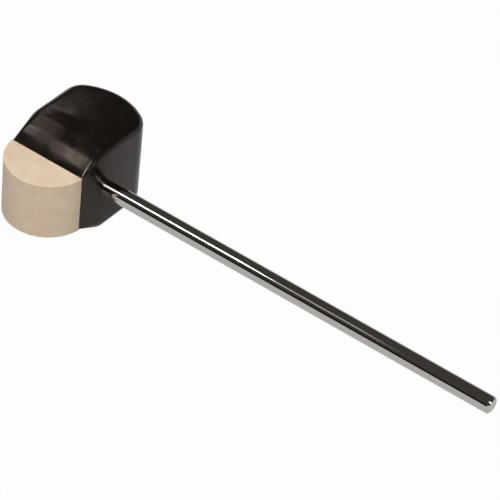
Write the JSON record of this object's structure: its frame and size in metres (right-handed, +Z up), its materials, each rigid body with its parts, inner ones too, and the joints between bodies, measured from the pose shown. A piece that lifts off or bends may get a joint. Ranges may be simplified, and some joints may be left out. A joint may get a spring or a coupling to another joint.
{
  "type": "bass drum beater",
  "caption": "Two-way beater for a bass drum pedal: a chromed rod carries a moulded head with a felt pad on one side and a hard crowned striking face on the other.",
  "frame": {"origin": "on the shaft axis at the free end, where the plain shaft ends and the end chamfer begins", "axes": "+X along the shaft from the head to the free end, -Y the felt striking side, +Y the hard striking side, +Z up across the head's width, so the beater lies on its side"},
  "size_m": [0.2516, 0.0706, 0.0484],
  "materials": {
    "chromed_rod": "polished chrome plate",
    "pin_steel": "ground",
    "head_plastic": "glossy black moulding",
    "pressed_felt": "dense pressed wool felt"
  },
  "bodies": {
    "root": {"shaft": "chromed_rod", "shaft_pin": "pin_steel", "head_front": "head_plastic", "head_back": "head_plastic", "felt_pad": "pressed_felt"}
  },
  "joints": []
}
